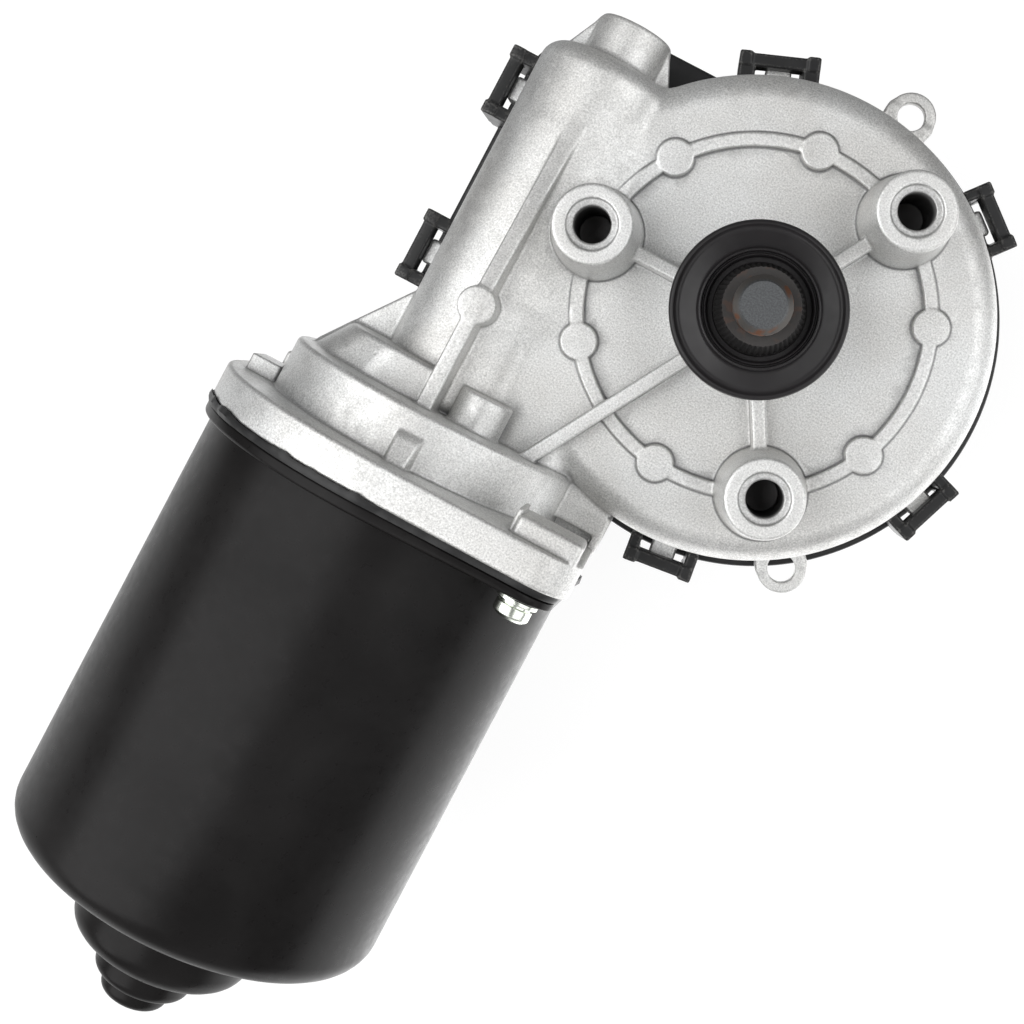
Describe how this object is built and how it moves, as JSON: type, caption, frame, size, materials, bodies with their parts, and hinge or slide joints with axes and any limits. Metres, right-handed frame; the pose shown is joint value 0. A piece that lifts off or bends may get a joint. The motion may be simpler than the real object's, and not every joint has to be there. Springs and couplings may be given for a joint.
{
  "type": "wiper motor",
  "caption": "Windscreen wiper motor: a round can drives a worm gear in a cast housing, and a threaded output shaft stands between threaded mounting bosses.",
  "frame": {"origin": "on the output shaft's axis, level with the machined tops of the mounting bosses", "axes": "+Z runs out along the output shaft, away from the gear housing; +Y runs along the motor's own shaft, from the can towards the worm's far end; +X points from the worm towards the output shaft"},
  "size_m": [0.1364, 0.2292, 0.0864],
  "materials": {
    "cast_alloy": "as cast, fine shot-blasted grain",
    "can_paint": "satin black paint on steel",
    "cover_plastic": "satin black moulding",
    "cap_plastic": "smooth black moulding",
    "sealing_rubber": "black, matt",
    "zinc_steel": "bright zinc plate",
    "phosphate_steel": "dark phosphate coat, light rust",
    "plain_steel": "ground steel",
    "core_steel": "stamped sheets",
    "ferrite": "pressed ferrite, matt",
    "bronze": "oil-filled sintered bronze",
    "copper": "enamelled copper wire",
    "contact_brass": "stamped brass",
    "brush_carbon": "pressed graphite",
    "circuit_board": "paper laminate",
    "wheel_plastic": "natural acetal",
    "insulating_plastic": "green insulation"
  },
  "bodies": {
    "casing": {"gear_housing": "cast_alloy", "gear_cover": "cover_plastic", "cover_seal": "sealing_rubber", "contact_plate": "circuit_board", "park_contacts": "contact_brass", "connector_terminals": "contact_brass", "motor_can": "can_paint", "can_gasket": "sealing_rubber", "can_screws": "zinc_steel", "field_magnets": "ferrite", "rear_bush": "bronze", "drum_bearing": "plain_steel", "worm_bush": "bronze", "lower_output_bush": "bronze", "upper_output_bush": "bronze", "shaft_seal": "sealing_rubber", "thrust_pad": "insulating_plastic", "thrust_screw": "plain_steel", "brush_plate": "circuit_board", "carbon_brushes": "brush_carbon", "brush_boxes": "contact_brass", "brush_springs": "plain_steel", "choke_coils": "copper"},
    "armature": {"armature_shaft": "plain_steel", "armature_core": "core_steel", "armature_windings": "copper", "shaft_insulators": "insulating_plastic", "commutator": "copper"},
    "output": {"worm_wheel": "wheel_plastic", "park_disc": "contact_brass", "output_shaft": "phosphate_steel", "thrust_washer": "plain_steel", "retaining_ring": "plain_steel", "rain_cap": "cap_plastic"}
  },
  "joints": [
    {"name": "armature_spin", "type": "hinge", "parent": "casing", "child": "armature", "pos_m": [-0.0453, 0, -0.0265], "axis": [0, 1, 0], "continuous": true},
    {"name": "output_spin", "type": "hinge", "parent": "casing", "child": "output", "pos_m": [0, 0, 0], "axis": [0, 0, 1], "continuous": true}
  ],
  "couplings": [
    {"joint": "output_spin", "follows": "armature_spin", "ratio": 0.016129}
  ]
}
